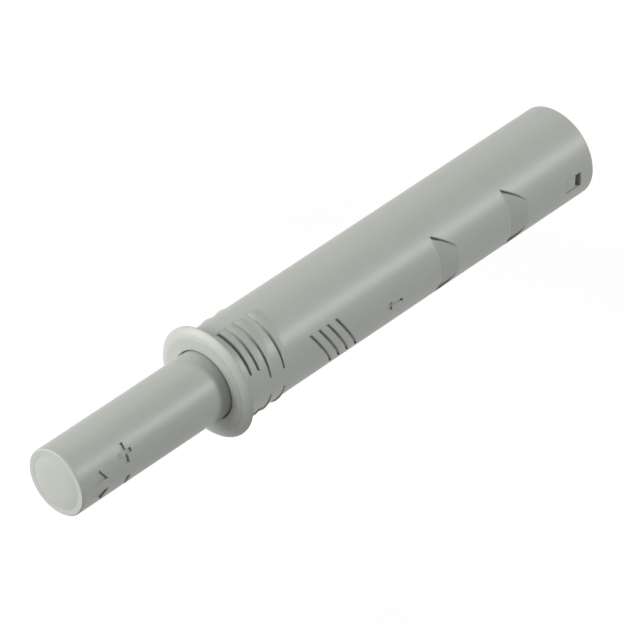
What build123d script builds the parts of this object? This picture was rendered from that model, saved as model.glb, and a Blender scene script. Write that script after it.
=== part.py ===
from build123d import *
import math
import os

# Push to open catch for a drilled hole in a cabinet side.
# The axis runs along Y. The flange seats on the carcass edge at y = 0, the plunger
# points to -Y and the shank to +Y. The mould marks are on the +X side.
# Millimetres and degrees throughout.

# Housing: the moulded tube with its flange
shank_radius = 4.9
shank_length = 50.0
shank_chamfer = 0.2
flange_radius = 5.9
flange_thickness = 0.72
flange_flat_radius = 4.6
flange_rim = 0.17
flange_back_chamfer = 0.07
burr_relief_width = 0.35
burr_relief_depth = 0.15
housing_wall = 0.8
guide_wall = 1.27
guide_end = 5.5
guide_chamfer = 0.1
key_width = 1.4
key_depth = 0.35

# Ring barbs behind the flange, on the half of the mould that carries the marks
barb_fronts = (1.35, 2.38, 3.56, 5.41)
barb_start_angles = (28.4, 28.4, 12.0, 12.0)
barb_shift = 0.4
barb_flush_angle = 12.5
barb_height = 0.2
barb_ramp = 1.6
barb_groove_width = 0.18
barb_groove_depth = 0.25
barb_groove_shifts = (0.0, 0.45, 0.45, 0.45)
ridge_centres = (3.5, 5.42)
ridge_top = 0.1
ridge_crown = 0.02
ridge_ramp = 0.4
ridge_shift = 0.33
ridge_lean = 150.0
ridge_flush_angle = 95.0

# Slanted grip grooves
grip_count = 4
grip_first = 9.48
grip_pitch = 1.18
grip_rise = 2.72
grip_half_height = 2.28
grip_width = 0.25
grip_depth = 0.22

# Small arrow that points to the front
arrow_tip = 19.45
arrow_head_length = 0.9
arrow_head_half = 0.52
arrow_shaft_length = 1.45
arrow_shaft_half = 0.18
arrow_depth = 0.18

# Wedge pockets
pocket_fronts = (27.4, 37.58)
pocket_length = 3.2
pocket_ramp = 2.6
pocket_half_height = 3.58
pocket_depth = 0.38

# Windows for the end plug's snap tabs
window_inset = 2.03
window_length = 2.12
window_half_height = 0.82
tab_length = 1.43
tab_recess = 0.08
tab_play = 0.08
tab_hollow_radius = 2.2

# Plunger sleeve
sleeve_proud = 0.32
sleeve_rear = 4.4
sleeve_chamfer = 0.12
sleeve_wall = 0.85
thread_wall = 1.35
thread_front = -3.4
ring_seat_wall = 0.6
pad_rim_width = 0.7
pad_seat_depth = 1.35

# Marks on the sleeve: plus, minus and the two turning arrows
mark_depth = 0.2
sign_inset = 5.99
sign_angle = 28.7
sign_half_angle = 17.0
sign_axial_length = 1.7
sign_bar_width = 0.5
turn_arrow_inset = 2.59
turn_arrow_half_width = 0.8
turn_arrow_tip_angle = 28.4
turn_arrow_base_angle = 9.0

# Strike pad in the sleeve's front
pad_proud = 0.2
pad_flat_radius = 1.2
pad_round_radius = 2.1
pad_round_fall = 0.06
pad_edge_recess = 0.01
pad_spigot_length = 2.3
pad_spigot_bore = 1.6

# Click ring between sleeve and ram, and its notches in the sleeve
ring_seat_length = 1.4
ring_lip_length = 0.4
ring_lip_height = 0.2
ring_key_width = 0.7
ring_key_groove = 0.5
ring_gap = 1.2
notch_count = 12
notch_radius = 0.22
notch_sides = 4
nub_radius = 0.3

# Ram: threaded stud, guided collar and track stem
collar_length = 2.2
collar_notch_length = 1.5
stem_gap = 0.35
stem_flat_cut = 1.35
track_front_wall = 1.45
track_rear_wall = 1.4
nut_thickness = 0.8
neck_depth = 0.7
neck_overhang = 0.15

# Travels: the plunger goes past its locked place before it springs out
end_gap = 0.4
adjust_out = 4.0
over_travel = 2.1

# Stop bumper
bumper_thickness = 0.6

# Ejector spring and its washer
spring_wire = 0.6
spring_gap = 0.3
spring_turns = 8
wire_sides = 6
washer_thickness = 0.4

# End plug
plug_length = 6.0
plug_back_wall = 1.8
plug_chamfer = 0.15

# Latch pin: a bent wire that swings about its leg in the plug's wall
pin_wire = 0.8
pin_sides = 12
pin_pivot_inset = 1.0
pin_bend = 0.5
pin_swing = 2.87
track_depth = 0.9
tip_play = 0.1
fork_before_end = 8.15
side_before_end = 5.43
far_before_end = 0.68
way_out_drop = 2.4
turn_back = 0.3
turn_rise = 0.9

# Leaf spring that keeps the pin in its track
leaf_thickness = 0.15
leaf_half_width = 0.6
leaf_reach = 9.0
leaf_eye_radius = 0.85
leaf_socket = 0.4

# Fits and gaps
guide_play = 0.08
thread_play = 0.05
running_play = 0.08
stop_gap = 0.05
stem_play = 0.16
pin_play = 0.16
nut_gap = 0.2
plug_play = 0.02
wall_gap = 0.1

# Worked out from the sizes above
barb_top = shank_radius + barb_height
bore_radius = shank_radius - housing_wall
guide_radius = shank_radius - guide_wall
sleeve_radius = guide_radius - guide_play
sleeve_bore_radius = sleeve_radius - sleeve_wall
thread_radius = sleeve_radius - thread_wall
pad_seat_radius = sleeve_radius - pad_rim_width
ring_seat_radius = sleeve_radius - ring_seat_wall
ring_lip_radius = ring_seat_radius - ring_lip_height
ring_lip_front = sleeve_rear - ring_lip_length
ring_seat_front = ring_lip_front - ring_seat_length
ring_outer = ring_seat_radius - running_play

collar_front = guide_end + bumper_thickness + stop_gap
collar_rear = collar_front + collar_length
nut_rear = thread_front - adjust_out - stop_gap
nut_outer_radius = sleeve_bore_radius - nut_gap
neck_radius = thread_radius - neck_depth

plug_front = shank_length - plug_length
plug_back = shank_length - plug_back_wall
plug_radius = bore_radius - plug_play
washer_front = plug_front - washer_thickness
window_front = shank_length - window_inset - window_length

spring_mean_radius = bore_radius - spring_gap - spring_wire / 2
stem_radius = spring_mean_radius - spring_wire / 2 - stem_gap
plug_bore_radius = stem_radius + stem_play
stem_flat = stem_radius - stem_flat_cut

# The stem's end, the track and the pin's tip share the room between collar and plug
track_front = collar_front + track_front_wall
track_room = plug_back - end_gap - track_rear_wall - track_front
push_travel = track_room / 2
locked_travel = push_travel - over_travel
stem_end = plug_back - end_gap - push_travel
pin_tip = stem_end - track_rear_wall
pin_pivot = plug_front + pin_pivot_inset
pin_length = pin_pivot - pin_tip
pin_axis = stem_flat + pin_wire / 2 + pin_play
pin_leg_end = plug_radius - pin_play
leaf_inner = pin_axis + pin_wire / 2 + stop_gap
leaf_front = pin_pivot - leaf_reach

sleeve_front = -flange_thickness - sleeve_proud - push_travel
sign_centre = sleeve_front + sign_inset
turn_arrow_centre = sleeve_front + turn_arrow_inset
reach = 2 * flange_radius


def turned(*profile):
    """A solid of revolution about the catch's axis, from (radius, y) points."""
    return revolve(make_face(Polyline(*profile, close=True).edges()), Axis.Y)


def ring(outer, inner, y_start, y_end):
    """A plain ring or, with no inner radius, a plain disc or rod."""
    return turned((inner, y_start), (outer, y_start), (outer, y_end), (inner, y_end))


def rod(radius, y_start, y_end):
    return ring(radius, 0, y_start, y_end)


def block(x_span, y_span, z_span):
    """A box between two places along each axis."""
    spans = (x_span, y_span, z_span)
    middle = [(low + high) / 2 for low, high in spans]
    lengths = [high - low for low, high in spans]
    return Pos(*middle) * Box(*lengths)


def side_prism(sketch):
    """Extrudes a (y, z) outline out of the marked +X side."""
    return extrude(Plane.YZ * sketch, amount=reach, dir=(1, 0, 0))


def recess(sketch, surface_radius, depth):
    """An even recess of the outline in a round surface on the +X side."""
    core = rod(surface_radius - depth, -reach * 3, shank_length + reach)
    return side_prism(sketch) - core


def height_at(radius, angle):
    """Height z of a point on a round surface, at an angle up from +X."""
    return radius * math.sin(math.radians(angle))


def rims(part, radius, y):
    """The circular edges of one radius at one place along the axis."""
    return [
        edge
        for edge in part.edges().filter_by(GeomType.CIRCLE)
        if abs(edge.radius - radius) < 0.001 and abs(edge.center().Y - y) < 0.001
    ]


# ---------------------------------------------------------------- housing

def flange():
    """The thin flange with its domed front."""
    front = -flange_thickness
    dome = TangentArc((flange_flat_radius, front), (flange_radius, -flange_rim), tangent=(1, 0))
    back = Polyline(
        dome @ 1,
        (flange_radius, -flange_back_chamfer),
        (flange_radius - flange_back_chamfer, 0),
        (0, 0),
        (0, front),
        dome @ 0,
    )
    return revolve(make_face([dome, back]), Axis.Y)


def sector(start_angle, side, half):
    """The space between start_angle and 90 degrees, above or below, on the +X or -X half."""
    start = math.radians(start_angle)
    edge_on = (reach * math.cos(start) * half, reach * math.sin(start) * side)
    corner = (reach * half, reach * side)
    outline = Polygon((0, 0), edge_on, corner, (0, reach * side), align=None)
    return extrude(Plane.XZ * outline, amount=shank_length, dir=(0, 1, 0))


def barb(y_front, start_angle, side):
    """A saw-tooth barb whose crest rises from the surface towards the mould's parting line."""
    crest = shank_radius - barb_shift * math.sin(math.radians(barb_flush_angle))
    root = guide_radius + guide_play
    tooth = turned(
        (root, y_front),
        (crest, y_front),
        (root, y_front + barb_ramp * (crest - root) / barb_shift),
    )
    tooth = Pos(0, 0, side * barb_shift) * tooth & rod(barb_top, 0, shank_length)
    return tooth & sector(start_angle, side, 1)


def barb_groove(y_front, start_angle, side, shift):
    """The relief groove in front of a barb. A shifted floor runs out towards the parting line."""
    y_start = y_front - barb_groove_width
    floor = Pos(-shift, 0, 0) * rod(shank_radius - barb_groove_depth + shift, y_start, y_front)
    return (rod(reach, y_start, y_front) - floor) & sector(start_angle, side, 1)


def ridge(y_centre, side):
    """A smooth ridge on the half of the mould without marks."""
    lean = math.radians(ridge_lean)
    crest = shank_radius - ridge_shift * math.cos(lean - math.radians(ridge_flush_angle))
    root = crest - ridge_shift
    half_top = ridge_top / 2
    half_foot = half_top + ridge_ramp
    hump = turned(
        (0, y_centre - half_foot),
        (root, y_centre - half_foot),
        (crest - ridge_crown, y_centre - half_top),
        (crest, y_centre),
        (crest - ridge_crown, y_centre + half_top),
        (root, y_centre + half_foot),
        (0, y_centre + half_foot),
    )
    hump = Pos(ridge_shift * math.cos(lean), 0, side * ridge_shift * math.sin(lean)) * hump
    return hump & rod(barb_top, 0, shank_length) & sector(0, side, -1)


def grip_groove(index):
    """One slanted groove, straight when seen from the marked side."""
    y = grip_first + index * grip_pitch
    half = grip_width / 2 * math.hypot(grip_rise, 2 * grip_half_height) / (2 * grip_half_height)
    outline = Polygon(
        (y - half, grip_half_height),
        (y + half, grip_half_height),
        (y + grip_rise + half, -grip_half_height),
        (y + grip_rise - half, -grip_half_height),
        align=None,
    )
    return recess(outline, shank_radius, grip_depth)


def arrow():
    """The small arrow that shows the front."""
    neck = arrow_tip + arrow_head_length
    tail = neck + arrow_shaft_length
    head = Polygon((arrow_tip, 0), (neck, arrow_head_half), (neck, -arrow_head_half), align=None)
    shaft = Pos((neck + tail) / 2, 0) * Rectangle(tail - neck, 2 * arrow_shaft_half)
    return recess(head + shaft, shank_radius, arrow_depth)


def pocket(y_front):
    """A wedge pocket: straight deep front edge, curved rear edge, floor that rises to the rear."""
    y_rear = y_front + pocket_ramp
    back = Bezier(
        (y_front, pocket_half_height),
        (y_front + 2 * pocket_length, 0),
        (y_front, -pocket_half_height),
    )
    front = Line(back @ 1, back @ 0)
    outline = make_face([back, front])
    wedge = turned(
        (shank_radius - pocket_depth, y_front),
        (reach, y_front),
        (reach, y_rear),
        (shank_radius, y_rear),
    )
    return side_prism(outline) & wedge


def window_space(side):
    """The opening through the wall for a snap tab."""
    x_span = sorted((side * (bore_radius - housing_wall), side * reach))
    y_span = (window_front, window_front + window_length)
    return block(x_span, y_span, (-window_half_height, window_half_height))


def keyways():
    """Two grooves along the bore that stop the ram from turning."""
    outer = bore_radius + key_depth
    slots = block((-key_width / 2, key_width / 2), (guide_end, shank_length), (-outer, outer))
    return slots & rod(outer, guide_end, shank_length)


def make_housing():
    front = -flange_thickness
    body = rod(shank_radius, front, shank_length) + flange()
    body = chamfer(rims(body, shank_radius, shank_length), shank_chamfer)
    body -= ring(shank_radius + burr_relief_width, shank_radius, -burr_relief_depth, 0)

    for side in (1, -1):
        for y_front, start_angle in zip(barb_fronts, barb_start_angles):
            body += barb(y_front, start_angle, side)
        for y_centre in ridge_centres:
            body += ridge(y_centre, side)
    for side in (1, -1):
        for y_front, start_angle, shift in zip(barb_fronts, barb_start_angles, barb_groove_shifts):
            body -= barb_groove(y_front, start_angle, side, shift)

    for index in range(grip_count):
        body -= grip_groove(index)
    body -= arrow()
    for y_front in pocket_fronts:
        body -= pocket(y_front)

    body -= turned(
        (0, front),
        (guide_radius + guide_chamfer, front),
        (guide_radius, front + guide_chamfer),
        (guide_radius, guide_end),
        (bore_radius, guide_end),
        (bore_radius, shank_length),
        (0, shank_length),
    )
    body -= keyways()
    for side in (1, -1):
        body -= window_space(side)
    return body


# ---------------------------------------------------------------- end plug

def snap_tab(side):
    """A tab that fills the front of a window, a little below the surface."""
    face = shank_radius - tab_recess
    x_span = sorted((side * (plug_radius - housing_wall), side * face))
    y_end = window_front + tab_play + tab_length
    half = window_half_height - tab_play
    tab = block(x_span, (window_front + tab_play, y_end), (-half, half))
    tab &= rod(face, window_front, y_end)
    sagitta = tab_hollow_radius - math.sqrt(tab_hollow_radius**2 - half**2)
    hollow_centre = y_end + tab_hollow_radius - sagitta
    hollow = Pos(side * face, hollow_centre, 0) * Rot(0, 90, 0) * Cylinder(tab_hollow_radius, reach)
    return tab - hollow


def tab_slot(side):
    """The slot behind a snap tab, through the plug's wall."""
    x_span = sorted((side * plug_bore_radius / 2, side * shank_radius))
    y_span = (window_front + tab_length, window_front + window_length)
    return block(x_span, y_span, (-window_half_height + tab_play, window_half_height - tab_play))


def make_end_plug():
    plug = rod(plug_radius, plug_front, shank_length)
    key = key_width / 2 - wall_gap
    key_top = bore_radius + key_depth - wall_gap
    keys = block((-key, key), (plug_front, shank_length), (-key_top, key_top))
    plug += keys & rod(key_top, plug_front, shank_length)
    for side in (1, -1):
        plug -= tab_slot(side)
        plug += snap_tab(side)
    plug -= rod(plug_bore_radius, plug_front, plug_back)
    plug = chamfer(rims(plug, plug_bore_radius, plug_front), plug_chamfer)
    leg_hole = Pos(-bore_radius, pin_pivot, 0) * Rot(0, 90, 0)
    plug -= leg_hole * Cylinder(pin_wire / 2 + stop_gap, 2 * bore_radius - plug_bore_radius)
    socket_half = leaf_half_width + stop_gap
    socket_x = (-leaf_inner - leaf_thickness - stop_gap, -leaf_inner + stop_gap)
    plug -= block(socket_x, (plug_back, plug_back + leaf_socket + stop_gap), (-socket_half, socket_half))
    return plug


# ---------------------------------------------------------------- plunger

def plus_sign():
    """The plus on the sleeve, above the centre line."""
    low = height_at(sleeve_radius, sign_angle - sign_half_angle)
    high = height_at(sleeve_radius, sign_angle + sign_half_angle)
    middle = height_at(sleeve_radius, sign_angle)
    upright = Pos(sign_centre, (low + high) / 2) * Rectangle(sign_bar_width, high - low)
    bar_height = sign_bar_width * math.cos(math.radians(sign_angle))
    return upright + Pos(sign_centre, middle) * Rectangle(sign_axial_length, bar_height)


def minus_sign():
    """The minus on the sleeve, below the centre line."""
    low = height_at(sleeve_radius, -sign_angle - sign_half_angle)
    high = height_at(sleeve_radius, -sign_angle + sign_half_angle)
    return Pos(sign_centre, (low + high) / 2) * Rectangle(sign_bar_width, high - low)


def turn_arrow(side):
    """A triangle that points round the sleeve towards one of the signs."""
    base = side * height_at(sleeve_radius, turn_arrow_base_angle)
    tip = side * height_at(sleeve_radius, turn_arrow_tip_angle)
    return Polygon(
        (turn_arrow_centre - turn_arrow_half_width, base),
        (turn_arrow_centre + turn_arrow_half_width, base),
        (turn_arrow_centre, tip),
        align=None,
    )


def make_plunger_sleeve():
    sleeve = rod(sleeve_radius, sleeve_front, sleeve_rear)
    sleeve = chamfer(rims(sleeve, sleeve_radius, sleeve_front), sleeve_chamfer)
    sleeve = chamfer(rims(sleeve, sleeve_radius, sleeve_rear), sleeve_chamfer)
    pad_seat = sleeve_front + pad_seat_depth
    bore = thread_radius + thread_play
    sleeve -= turned(
        (0, sleeve_front),
        (pad_seat_radius, sleeve_front),
        (pad_seat_radius, pad_seat),
        (sleeve_bore_radius, pad_seat),
        (sleeve_bore_radius, thread_front),
        (bore, thread_front),
        (bore, ring_seat_front),
        (ring_seat_radius, ring_seat_front),
        (ring_seat_radius, ring_lip_front),
        (ring_lip_radius, ring_lip_front),
        (ring_lip_radius, sleeve_rear),
        (0, sleeve_rear),
    )
    notch_outline = Pos(ring_seat_radius, 0) * RegularPolygon(notch_radius, notch_sides)
    notch_length = ring_lip_front - ring_seat_front
    notch = extrude(Plane.XZ.offset(-ring_seat_front) * notch_outline, amount=notch_length, dir=(0, 1, 0))
    for index in range(notch_count):
        sleeve -= Rot(0, index * 360 / notch_count, 0) * notch
    for sketch in (plus_sign(), minus_sign(), turn_arrow(1), turn_arrow(-1)):
        sleeve -= recess(sketch, sleeve_radius, mark_depth)
    return sleeve


def make_strike_pad():
    """The domed pad that meets the door, with its hollow spigot in the sleeve."""
    face = sleeve_front - pad_proud
    seat = sleeve_front + pad_seat_depth
    head_radius = pad_seat_radius - plug_play
    spigot = sleeve_bore_radius - plug_play
    end = seat + pad_spigot_length
    return turned(
        (0, face),
        (pad_flat_radius, face),
        (pad_round_radius, face + pad_round_fall),
        (head_radius, sleeve_front + pad_edge_recess),
        (head_radius, seat),
        (spigot, seat),
        (spigot, end),
        (pad_spigot_bore, end),
        (pad_spigot_bore, seat),
        (0, seat),
    )


def make_click_ring():
    """A split ring, keyed to the ram's stud, whose nub clicks in the sleeve's notches."""
    front = ring_seat_front + stop_gap
    rear = ring_lip_front - stop_gap
    inner = thread_radius + running_play
    click = ring(ring_outer, inner, front, rear)
    nub = Pos(0, (front + rear) / 2, ring_outer - nub_radius + stop_gap)
    click += nub * Rot(90, 0, 0) * Cylinder(nub_radius, rear - front) - rod(inner, front, rear)
    bottom = thread_radius - ring_key_groove + stop_gap
    half = ring_key_width / 2
    keys = block((-inner - stop_gap, inner + stop_gap), (front, rear), (-half, half))
    click += keys - rod(bottom, front, rear)
    return click - block((-ring_gap / 2, ring_gap / 2), (front, rear), (-reach, 0))


# ---------------------------------------------------------------- ram

def stadium(start, end, width):
    """A slot outline between two (y, z) points, with round ends."""
    run = math.dist(start, end)
    turn = math.degrees(math.atan2(end[1] - start[1], end[0] - start[0]))
    middle = ((start[0] + end[0]) / 2, (start[1] + end[1]) / 2)
    return Pos(*middle) * Rot(0, 0, turn) * SlotCenterToCenter(run, width)


def tip_height(travel):
    """Height of the pin's tip when the ram has gone in by travel."""
    swing = math.radians(pin_swing) * travel / push_travel
    return pin_length * math.sin(swing)


def heart_track():
    """The groove the pin's tip runs in: a slanted way in, a heart that locks, and a way out."""
    width = pin_wire + 2 * tip_play
    way_in = stadium((pin_tip, 0), (pin_tip - push_travel, tip_height(push_travel)), width)
    out_height = tip_height(push_travel) - way_out_drop
    fork_travel = push_travel - fork_before_end
    fork = (pin_tip - fork_travel, tip_height(fork_travel))
    side_end = (pin_tip - push_travel + side_before_end, out_height)
    far_end = (pin_tip - push_travel + far_before_end, out_height)
    over_end = (pin_tip - push_travel, tip_height(push_travel))
    lock = (pin_tip - locked_travel, (out_height + tip_height(locked_travel)) / 2)
    over_low = (over_end[0] + turn_back, out_height + turn_rise)
    track = way_in
    for start, end in (
        (fork, side_end),
        (side_end, far_end),
        (far_end, over_low),
        (over_low, over_end),
        (over_low, lock),
    ):
        track += stadium(start, end, width)
    return track


def make_ram():
    """Threaded stud, guided collar with two keys and the flat-sided stem with the track."""
    ram = turned(
        (0, nut_rear - nut_thickness - neck_overhang),
        (neck_radius, nut_rear - nut_thickness - neck_overhang),
        (neck_radius, nut_rear),
        (thread_radius, nut_rear),
        (thread_radius, collar_front),
        (bore_radius - running_play, collar_front),
        (bore_radius - running_play, collar_rear),
        (stem_radius, collar_rear),
        (stem_radius, stem_end),
        (0, stem_end),
    )
    key = key_width / 2 - wall_gap
    key_top = bore_radius + key_depth - wall_gap
    keys = block((-key, key), (collar_front, collar_rear), (-key_top, key_top))
    ram += keys & rod(key_top, collar_front, collar_rear)
    flat = block((-stem_radius, -stem_flat), (collar_rear - collar_notch_length, stem_end),
                 (-stem_radius, stem_radius))
    ram -= flat & rod(stem_radius + wall_gap, collar_rear - collar_notch_length, stem_end)
    ram -= extrude(Plane.YZ.offset(-stem_flat) * heart_track(), amount=track_depth, dir=(1, 0, 0))
    groove_width = ring_key_width / 2 + stop_gap
    grooves = block((-thread_radius, thread_radius), (nut_rear, collar_front),
                    (-groove_width, groove_width))
    ram -= grooves - rod(thread_radius - ring_key_groove, nut_rear, collar_front)
    return ram


def make_push_nut():
    """The washer pressed on the stud's end, which stops the sleeve from unscrewing."""
    return ring(nut_outer_radius, neck_radius, nut_rear - nut_thickness, nut_rear)


def make_stop_bumper():
    """The soft ring that the collar meets when the plunger is out."""
    return ring(bore_radius - stop_gap, guide_radius + stop_gap, guide_end, guide_end + bumper_thickness)


# ---------------------------------------------------------------- spring and latch

def make_ejector_spring():
    """The wound spring, with its ends ground flat on the collar and on the washer."""
    length = washer_front - collar_rear
    coil = Helix(length / spring_turns, length, spring_mean_radius)
    section = Plane(origin=coil @ 0, z_dir=coil % 0) * RegularPolygon(spring_wire / 2, wire_sides)
    wire = sweep(section, path=coil, is_frenet=True)
    along_y = Plane(origin=(0, collar_rear, 0), x_dir=(1, 0, 0), z_dir=(0, 1, 0))
    return along_y.location * wire & rod(bore_radius, collar_rear, washer_front)


def make_spring_washer():
    return ring(bore_radius - wall_gap, plug_bore_radius + wall_gap, washer_front, plug_front)


def make_latch_pin():
    """Bent wire: a leg in the plug's wall, a long arm and a short tip in the track."""
    tip_depth = stem_flat - track_depth + tip_play
    route = FilletPolyline(
        (-pin_leg_end, pin_pivot),
        (-pin_axis, pin_pivot),
        (-pin_axis, pin_tip),
        (-tip_depth, pin_tip),
        radius=pin_bend,
    )
    section = Plane(origin=route @ 0, z_dir=route % 0) * RegularPolygon(pin_wire / 2, pin_sides)
    return sweep(section, path=route)


def make_pin_leaf():
    """A flat spring that bears on the pin, with an eye round the pin's leg."""
    end = plug_back + leaf_socket
    strip = Pos((leaf_front + end) / 2, 0) * Rectangle(end - leaf_front, 2 * leaf_half_width)
    strip += Pos(pin_pivot, 0) * Circle(leaf_eye_radius)
    strip -= Pos(pin_pivot, 0) * Circle(pin_wire / 2 + running_play)
    return extrude(Plane.YZ.offset(-leaf_inner) * strip, amount=leaf_thickness, dir=(-1, 0, 0))


def main():
    pieces = {
        "housing": make_housing(),
        "end_plug": make_end_plug(),
        "plunger_sleeve": make_plunger_sleeve(),
        "strike_pad": make_strike_pad(),
        "click_ring": make_click_ring(),
        "ram": make_ram(),
        "push_nut": make_push_nut(),
        "stop_bumper": make_stop_bumper(),
        "ejector_spring": make_ejector_spring(),
        "spring_washer": make_spring_washer(),
        "latch_pin": make_latch_pin(),
        "pin_leaf": make_pin_leaf(),
    }
    os.makedirs("parts", exist_ok=True)
    for name, piece in pieces.items():
        export_step(piece, f"parts/{name}.step")


main()
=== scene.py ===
"""Push to open catch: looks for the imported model, built round its fixed frame.

The catch lies along Y. The plunger points to -Y and the mould marks are on +X.
Sizes are in millimetres and become metres where a mesh is made.
"""
import logging
import math
from dataclasses import dataclass, field
from enum import Enum

import bmesh
import bpy
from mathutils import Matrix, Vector


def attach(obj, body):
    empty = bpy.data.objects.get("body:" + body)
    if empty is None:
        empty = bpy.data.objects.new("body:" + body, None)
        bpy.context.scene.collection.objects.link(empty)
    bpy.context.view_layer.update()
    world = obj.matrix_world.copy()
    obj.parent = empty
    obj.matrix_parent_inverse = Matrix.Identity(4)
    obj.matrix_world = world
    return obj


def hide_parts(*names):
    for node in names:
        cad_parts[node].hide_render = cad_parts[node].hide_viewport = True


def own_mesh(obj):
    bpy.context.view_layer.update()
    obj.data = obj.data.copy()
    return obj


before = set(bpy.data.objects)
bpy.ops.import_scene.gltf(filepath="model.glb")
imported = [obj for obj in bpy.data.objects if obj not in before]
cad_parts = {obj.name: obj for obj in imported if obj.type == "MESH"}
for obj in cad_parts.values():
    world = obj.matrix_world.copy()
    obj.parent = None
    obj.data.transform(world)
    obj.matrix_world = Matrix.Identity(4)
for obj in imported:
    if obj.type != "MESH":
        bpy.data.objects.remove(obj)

LOG = logging.getLogger("catch")
MM = 0.001
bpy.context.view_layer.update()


def write_sizes() -> None:
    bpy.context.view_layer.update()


write_sizes()


class Body(Enum):
    """The CAD bodies that the new pieces ride on."""

    HOUSING = "housing"
    PLUNGER = "plunger"


# ---------------------------------------------------------------- materials

def linear(hex_colour: str) -> tuple[float, float, float, float]:
    """Turns an sRGB hex colour into the linear values that Blender works in.

    Args:
        hex_colour: six hex digits, such as "a1a69d".

    Returns:
        Red, green, blue and an alpha of 1.
    """
    channels = [int(hex_colour[i:i + 2], 16) / 255 for i in (0, 2, 4)]
    red, green, blue = (c / 12.92 if c <= 0.04045 else ((c + 0.055) / 1.055) ** 2.4 for c in channels)
    return red, green, blue, 1.0


def add_node(
        tree: bpy.types.NodeTree, kind: str, links: dict[str | int, object] | None = None,
        **settings: object) -> bpy.types.Node:
    """Adds a shader node with its settings and links.

    Args:
        tree: the node tree.
        kind: the node's type name.
        links: sockets or constants, by the input's name or number.
        settings: the node's own properties.

    Returns:
        The new node.
    """
    node = tree.nodes.new(kind)
    for key, value in settings.items():
        setattr(node, key, value)
    for name, value in (links or {}).items():
        if isinstance(value, bpy.types.NodeSocket):
            tree.links.new(value, node.inputs[name])
        else:
            node.inputs[name].default_value = value
    return node


@dataclass(frozen=True)
class Finish:
    """A solid material with fine grain in its surface and slight mottling in its colour.

    Grain and mottle are given by the size of their patches, and edge_mm is how far round an
    edge the light turns. The roughness varies by rough_play with the grain.
    """

    name: str
    colour: str
    shade: str
    roughness: float
    grain_mm: float
    grain_depth_mm: float
    mottle_mm: float
    metallic: float = 0.0
    ior: float = 1.5
    edge_mm: float = 0.03
    edge_samples: int = 6
    rough_play: float = 0.04
    grain_strength: float = 0.35
    grain_detail: float = 3.0
    grain_roughness: float = 0.6
    mottle_detail: float = 2.0
    stretch: tuple[float, float, float] = (1.0, 1.0, 1.0)

    def build(self) -> bpy.types.Material:
        """Makes the material, unless it is there already.

        Returns:
            The material.
        """
        made = bpy.data.materials.get(self.name)
        if made:
            return made
        made = bpy.data.materials.new(self.name)
        made.use_nodes = True
        tree = made.node_tree
        tree.nodes.clear()
        place = add_node(tree, "ShaderNodeTexCoord")
        stretched = add_node(tree, "ShaderNodeMapping", {
            "Vector": place.outputs["Object"], "Scale": self.stretch})
        grain = add_node(tree, "ShaderNodeTexNoise", {
            "Vector": stretched.outputs["Vector"], "Scale": 1 / (self.grain_mm * MM),
            "Detail": self.grain_detail, "Roughness": self.grain_roughness})
        mottle = add_node(tree, "ShaderNodeTexNoise", {
            "Vector": stretched.outputs["Vector"], "Scale": 1 / (self.mottle_mm * MM),
            "Detail": self.mottle_detail})
        colour = add_node(tree, "ShaderNodeMix", {
            "Factor": mottle.outputs["Fac"], "A": linear(self.colour), "B": linear(self.shade)},
            data_type="RGBA")
        rough = add_node(tree, "ShaderNodeMapRange", {
            "Value": grain.outputs["Fac"],
            "To Min": self.roughness - self.rough_play, "To Max": self.roughness + self.rough_play})
        edge = add_node(
            tree, "ShaderNodeBevel", {"Radius": self.edge_mm * MM}, samples=self.edge_samples)
        bump = add_node(tree, "ShaderNodeBump", {
            "Height": grain.outputs["Fac"], "Strength": self.grain_strength,
            "Distance": self.grain_depth_mm * MM, "Normal": edge.outputs["Normal"]})
        settings = {"Base Color": colour.outputs["Result"], "Roughness": rough.outputs["Result"],
                    "Normal": bump.outputs["Normal"], "Metallic": self.metallic}
        if not self.metallic:
            settings["IOR"] = self.ior
        shader = add_node(tree, "ShaderNodeBsdfPrincipled", settings)
        add_node(tree, "ShaderNodeOutputMaterial", {"Surface": shader.outputs["BSDF"]})
        return made


# Acetal moulded in a spark-eroded tool: an even satin, with edges that are softly rounded.
GREY_PLASTIC = Finish("moulded_pom_grey_satin", "a9aca5", "a5a8a1", 0.44, 0.12, 0.003, 3.0,
                      ior=1.48, edge_mm=0.2)
# The same plastic on the turning sleeve, whose marks and rim have sharper edges.
GREY_SLEEVE = Finish("moulded_pom_grey_satin_sleeve", "a9aca5", "a5a8a1", 0.44, 0.12, 0.003, 3.0,
                     ior=1.48, edge_mm=0.05)
# The pad is moulded softer and duller, so the door isn't marked.
GREY_PAD = Finish("moulded_tpu_grey_matte", "a6a9a2", "a3a69f", 0.55, 0.15, 0.003, 3.0)
# Unpigmented acetal: milky white with a waxy sheen.
NATURAL_ACETAL = Finish("moulded_pom_natural", "d9d8d0", "d2d1c8", 0.35, 0.12, 0.003, 2.5, ior=1.48)
# Pigmented acetal: black, a painted shade that makes the gap beside a snap tab look dark.
BLACK_ACETAL_GAP_SHADE = Finish("moulded_pom_black_painted_gap_shade", "161616", "131313", 0.38, 0.12, 0.003, 2.5, ior=1.48)
# Drawn wire: bright, with a fine grain under a light oil film.
SPRING_WIRE = Finish("drawn_spring_wire", "a9a9a6", "9a9a97", 0.3, 0.2, 0.003, 1.5, metallic=1.0)
# Stamped sheet: rolled faces, duller than the wire.
STAMPED_STEEL = Finish("stamped_spring_steel", "9c9b97", "8d8c88", 0.38, 0.15, 0.003, 1.2,
                       metallic=1.0, stretch=(1.0, 0.25, 1.0))
# Soft elastomer: near black and dull.
ELASTOMER = Finish("moulded_elastomer_black", "26262a", "202024", 0.7, 0.1, 0.005, 1.0)


def dress(piece: bpy.types.Object, finish: Finish) -> None:
    """Puts a finish on every face of a piece, in place of what it had.

    Args:
        piece: the mesh object.
        finish: its finish.
    """
    material = finish.build()
    if not piece.material_slots:
        piece.data.materials.append(material)
    for entry in piece.material_slots:
        entry.material = material


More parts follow.
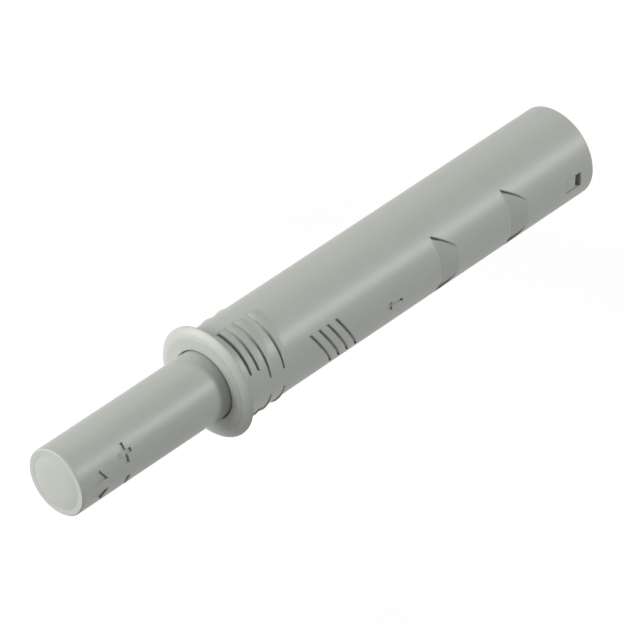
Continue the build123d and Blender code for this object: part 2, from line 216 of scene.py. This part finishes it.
# ---------------------------------------------------------------- mesh helpers

SEGMENTS = 192
MERGE_MM = 1e-5


def mesh_object(name: str, form: bmesh.types.BMesh, body: Body, node: str) -> bpy.types.Object:
    """Turns a bmesh in millimetres into an object in metres that stands for a CAD node.

    Args:
        name: the piece's name.
        form: the bmesh, which is freed.
        body: the body that the piece rides on.
        node: the CAD node that it replaces, which is hidden.

    Returns:
        The new object, at the origin.
    """
    bmesh.ops.scale(form, vec=(MM, MM, MM), verts=form.verts)
    mesh = bpy.data.meshes.new(name)
    form.to_mesh(mesh)
    form.free()
    made = bpy.data.objects.new(name, mesh)
    bpy.context.scene.collection.objects.link(made)
    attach(made, body.value)
    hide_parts(node)
    return made


def lathe(profile: list[tuple[float, float]]) -> bmesh.types.BMesh:
    """Spins a closed (radius, y) profile round the catch's axis.

    Args:
        profile: the outline, in order, with its ends on the axis.

    Returns:
        The closed form.
    """
    form = bmesh.new()
    points = [form.verts.new((radius, y, 0)) for radius, y in profile]
    pairs = zip(points, points[1:] + points[:1])
    edges = [form.edges.new(pair) for pair in pairs if pair[0].co.x + pair[1].co.x > 0]
    bmesh.ops.spin(form, geom=points + edges, cent=(0, 0, 0), axis=(0, 1, 0), angle=2 * math.pi,
                   steps=SEGMENTS, use_merge=True)
    bmesh.ops.remove_doubles(form, verts=form.verts, dist=MERGE_MM)
    bmesh.ops.recalc_face_normals(form, faces=form.faces)
    return form


def smooth(piece: bpy.types.Object, crease: float = 30.0) -> None:
    """Shades a piece smooth, apart from edges that turn by more than the crease angle in degrees."""
    piece.data.shade_smooth()
    piece.data.set_sharp_from_angle(angle=math.radians(crease))


# ---------------------------------------------------------------- the catch's pieces

@dataclass
class Housing:
    """The flanged tube, the plug that closes it, and the small parts fixed in it."""

    moulded: Finish = GREY_PLASTIC
    sheet: Finish = STAMPED_STEEL
    soft: Finish = ELASTOMER

    def dress(self) -> None:
        """Dresses the fixed CAD nodes."""
        for name in ("housing", "end_plug"):
            dress(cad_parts[name], self.moulded)
        for name in ("spring_washer", "pin_leaf"):
            dress(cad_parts[name], self.sheet)
        dress(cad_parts["stop_bumper"], self.soft)


@dataclass
class Ram:
    """The sliding ram with its track, the nut pushed on its stud, and the click ring."""

    # The ram's black is a painted shade for the gap beside the snap tab.
    moulded: Finish = BLACK_ACETAL_GAP_SHADE
    ring: Finish = NATURAL_ACETAL
    sheet: Finish = STAMPED_STEEL

    def dress(self) -> None:
        """Dresses the moving CAD nodes inside the housing."""
        dress(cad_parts["ram"], self.moulded)
        dress(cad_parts["click_ring"], self.ring)
        dress(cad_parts["push_nut"], self.sheet)


@dataclass
class LatchPin:
    """The bent wire whose tip runs in the ram's track."""

    wire: Finish = SPRING_WIRE

    def dress(self) -> None:
        """Dresses the CAD node."""
        dress(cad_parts["latch_pin"], self.wire)


@dataclass
class EjectorSpring:
    """The compression spring of round wire, with a closed and ground turn at each end."""

    wire: Finish = SPRING_WIRE
    mean_radius: float = 3.5
    wire_diameter: float = 0.6
    front_y: float = 8.37
    rear_y: float = 43.6
    stroke: float = 19.4
    closed_turns: float = 1.0
    open_turns: float = 6.0
    grind: float = 0.2
    sides: int = 16
    steps_a_turn: int = 48

    def coil(self) -> bmesh.types.BMesh:
        """Winds the wire: a closed turn, the open turns and a closed turn, cut flat at both ends.

        Returns:
            The closed form.
        """
        form = bmesh.new()
        start = self.front_y + self.wire_diameter / 2 - self.grind
        length = self.rear_y - self.front_y - self.wire_diameter + 2 * self.grind
        rise_open = (length - 2 * self.closed_turns * self.wire_diameter) / self.open_turns
        first = bmesh.ops.create_circle(
            form, segments=self.sides, radius=self.wire_diameter / 2)["verts"]
        bmesh.ops.translate(form, vec=(self.mean_radius, start, 0), verts=first)
        runs = ((self.closed_turns, self.wire_diameter), (self.open_turns, rise_open),
                (self.closed_turns, self.wire_diameter))
        section = list(dict.fromkeys(edge for vert in first for edge in vert.link_edges)) + first
        for turns, rise in runs:
            steps = round(turns * self.steps_a_turn)
            section = bmesh.ops.spin(
                form, geom=section, cent=(0, 0, 0), axis=(0, 1, 0),
                dvec=(0, rise / self.steps_a_turn, 0), angle=2 * math.pi * turns, steps=steps,
                use_merge=False)["geom_last"]
        bmesh.ops.remove_doubles(form, verts=form.verts, dist=MERGE_MM)
        bmesh.ops.holes_fill(form, edges=form.edges, sides=self.sides)
        for y, side in ((self.front_y, -1), (self.rear_y, 1)):
            cut = bmesh.ops.bisect_plane(
                form, geom=form.verts[:] + form.edges[:] + form.faces[:], plane_co=(0, y, 0),
                plane_no=(0, side, 0), clear_outer=True)["geom_cut"]
            rim = [part for part in cut if isinstance(part, bmesh.types.BMEdge)]
            bmesh.ops.contextual_create(form, geom=rim)
        bmesh.ops.recalc_face_normals(form, faces=form.faces)
        return form

    def build(self) -> None:
        """Winds and dresses the spring."""
        piece = mesh_object("ejector_spring_wound", self.coil(), Body.HOUSING, "ejector_spring")
        smooth(piece)
        dress(piece, self.wire)
        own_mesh(piece)


@dataclass
class Plunger:
    """The turning sleeve with its marks, and the domed pad in its front."""

    moulded: Finish = GREY_SLEEVE
    soft: Finish = GREY_PAD
    face_y: float = -20.64
    rim_y: float = -20.43
    dome_power: float = 3.0
    dome_steps: int = 20
    head_radius: float = 2.845
    seat_y: float = -19.09
    spigot_radius: float = 2.68
    spigot_bore: float = 1.6
    spigot_end_y: float = -16.79

    def dome(self, radius: float) -> tuple[float, float]:
        """Gives the point of the pad's dome at a radius. It falls off faster towards the edge."""
        share = (radius / self.head_radius) ** self.dome_power
        return radius, self.face_y + (self.rim_y - self.face_y) * share

    def pad(self) -> None:
        """Turns and dresses the pad with its hollow spigot."""
        profile = [
            self.dome(self.head_radius * step / self.dome_steps) for step in range(self.dome_steps + 1)]
        profile += [
            (self.head_radius, self.seat_y),
            (self.spigot_radius, self.seat_y),
            (self.spigot_radius, self.spigot_end_y),
            (self.spigot_bore, self.spigot_end_y),
            (self.spigot_bore, self.seat_y),
            (0.0, self.seat_y),
        ]
        piece = mesh_object("strike_pad_domed", lathe(profile), Body.PLUNGER, "strike_pad")
        smooth(piece)
        dress(piece, self.soft)

    def build(self) -> None:
        """Dresses the sleeve and makes the pad."""
        dress(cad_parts["plunger_sleeve"], self.moulded)
        self.pad()


# ---------------------------------------------------------------- studio

WHITE = linear("ffffff")


def towards(azimuth: float, elevation: float) -> Vector:
    """Gives the direction at an azimuth from -Y towards +X and an elevation, both in degrees."""
    turn, rise = math.radians(azimuth), math.radians(elevation)
    return Vector((math.sin(turn) * math.cos(rise), -math.cos(turn) * math.cos(rise), math.sin(rise)))


@dataclass(frozen=True)
class SoftLamp:
    """A square soft lamp that faces the catch. Distance and size are in metres, power in watts."""

    name: str
    azimuth: float
    elevation: float
    distance: float
    size: float
    power: float

    def build(self, target: Vector) -> None:
        """Makes the lamp and turns it to the target.

        Args:
            target: the point it faces, in metres.
        """
        back = towards(self.azimuth, self.elevation)
        lamp = bpy.data.lights.new(self.name, "AREA")
        lamp.shape = "SQUARE"
        lamp.size = self.size
        lamp.energy = self.power
        made = bpy.data.objects.new(self.name, lamp)
        made.location = target + back * self.distance
        made.rotation_euler = back.to_track_quat("Z", "Y").to_euler()
        bpy.context.scene.collection.objects.link(made)


@dataclass
class Studio:
    """Camera, lamps, world and floor."""

    azimuth: float = 43.0804
    elevation: float = 38.4523
    distance_mm: float = 555.585
    aim_mm: tuple[float, float, float] = (-0.2455, 14.5524, -0.2005)
    lens_mm: float = 333.375
    sensor_mm: float = 36.0
    clip_m: tuple[float, float] = (0.01, 10.0)
    floor_z_mm: float = -60.0
    floor_size_mm: float = 900.0
    floor_colour: str = "b4b4b4"
    floor_white: float = 0.55
    floor_fade_mm: tuple[float, float] = (120.0, 420.0)
    world_light: float = 0.08
    lamps: list[SoftLamp] = field(default_factory=lambda: [
        SoftLamp("side", -45.0, 10.0, 0.6, 0.25, 2.2),
        SoftLamp("rear", 130.8, 29.3, 0.6, 0.12, 1.75),
        SoftLamp("front", -10.0, 20.0, 0.6, 0.25, 1.4),
        SoftLamp("high", 90.0, 75.0, 0.6, 0.35, 0.8),
        SoftLamp("key", -33.0, 33.0, 0.6, 0.25, 1.1),
        SoftLamp("left", -120.0, 55.0, 0.6, 0.3, 0.45),
    ])

    def camera(self) -> None:
        """Makes the camera at its viewing angle."""
        back = towards(self.azimuth, self.elevation)
        data = bpy.data.cameras.new("camera")
        data.lens = self.lens_mm
        data.sensor_width = self.sensor_mm
        data.clip_start, data.clip_end = self.clip_m
        made = bpy.data.objects.new("camera", data)
        made.location = (Vector(self.aim_mm) + back * self.distance_mm) * MM
        made.rotation_euler = back.to_track_quat("Z", "Y").to_euler()
        bpy.context.scene.collection.objects.link(made)
        bpy.context.scene.camera = made

    def white_part(
            self, tree: bpy.types.NodeTree,
            amount: float | bpy.types.NodeSocket) -> bpy.types.NodeSocket:
        """Says how much of the plain white a ray sees: the given amount if it comes straight,
        or by way of gloss or glass, from the camera.

        Args:
            tree: the node tree.
            amount: the share of white, or a socket that gives it.

        Returns:
            The share's socket.
        """
        path = add_node(tree, "ShaderNodeLightPath")
        shiny = add_node(tree, "ShaderNodeMath", {
            0: path.outputs["Is Glossy Ray"], 1: path.outputs["Is Transmission Ray"]},
            operation="MAXIMUM")
        seen = add_node(tree, "ShaderNodeMath", {
            0: path.outputs["Is Camera Ray"], 1: shiny.outputs[0]}, operation="MAXIMUM")
        share = add_node(tree, "ShaderNodeMath", {0: seen.outputs[0], 1: amount}, operation="MULTIPLY")
        return share.outputs[0]

    def world(self) -> None:
        """A pale world: white to the eye and to gloss, plain soft light on the rest."""
        world = bpy.data.worlds.new("studio_world")
        bpy.context.scene.world = world
        world.use_nodes = True
        tree = world.node_tree
        tree.nodes.clear()
        soft = add_node(tree, "ShaderNodeBackground", {"Color": WHITE, "Strength": self.world_light})
        white = add_node(tree, "ShaderNodeBackground", {"Color": WHITE, "Strength": 1.0})
        mix = add_node(tree, "ShaderNodeMixShader", {
            0: self.white_part(tree, 1.0), 1: soft.outputs[0], 2: white.outputs[0]})
        add_node(tree, "ShaderNodeOutputWorld", {"Surface": mix.outputs[0]})

    def floor(self) -> None:
        """A plain pale floor well under the catch, which keeps the shadow and fades to white."""
        form = bmesh.new()
        bmesh.ops.create_grid(form, x_segments=1, y_segments=1, size=self.floor_size_mm * MM / 2)
        bmesh.ops.translate(form, vec=(0, 0, self.floor_z_mm * MM), verts=form.verts)
        mesh = bpy.data.meshes.new("floor")
        form.to_mesh(mesh)
        form.free()
        made = bpy.data.objects.new("floor", mesh)
        bpy.context.scene.collection.objects.link(made)
        material = bpy.data.materials.new("paper_floor_pale")
        material.use_nodes = True
        tree = material.node_tree
        tree.nodes.clear()
        paper = add_node(tree, "ShaderNodeBsdfDiffuse", {"Color": linear(self.floor_colour)})
        place = add_node(tree, "ShaderNodeTexCoord")
        away = add_node(tree, "ShaderNodeVectorMath", {0: place.outputs["Object"]}, operation="LENGTH")
        near, far = self.floor_fade_mm
        fade = add_node(tree, "ShaderNodeMapRange", {
            "Value": away.outputs["Value"], "From Min": near * MM, "From Max": far * MM,
            "To Min": self.floor_white, "To Max": 1.0})
        white = add_node(tree, "ShaderNodeEmission", {
            "Color": WHITE, "Strength": self.white_part(tree, fade.outputs["Result"])})
        both = add_node(tree, "ShaderNodeAddShader", {0: paper.outputs[0], 1: white.outputs[0]})
        add_node(tree, "ShaderNodeOutputMaterial", {"Surface": both.outputs[0]})
        mesh.materials.append(material)

    def build(self) -> None:
        """Builds the whole studio."""
        self.camera()
        self.world()
        self.floor()
        for lamp in self.lamps:
            lamp.build(Vector(self.aim_mm) * MM)
        bpy.context.scene.view_settings.view_transform = "Standard"


def main() -> None:
    """Builds the catch's pieces and then the studio, and reports each."""
    Housing().dress()
    LOG.info("housing, end plug, washer, leaf and bumper dressed")
    Ram().dress()
    LOG.info("ram, click ring and push nut dressed")
    LatchPin().dress()
    LOG.info("latch pin dressed")
    EjectorSpring().build()
    LOG.info("ejector spring wound")
    Plunger().build()
    LOG.info("plunger sleeve dressed and strike pad made")
    Studio().build()
    LOG.info("studio built")


if __name__ == "__main__":
    logging.basicConfig(level=logging.INFO, format="%(name)s: %(message)s")
    main()
    write_sizes()
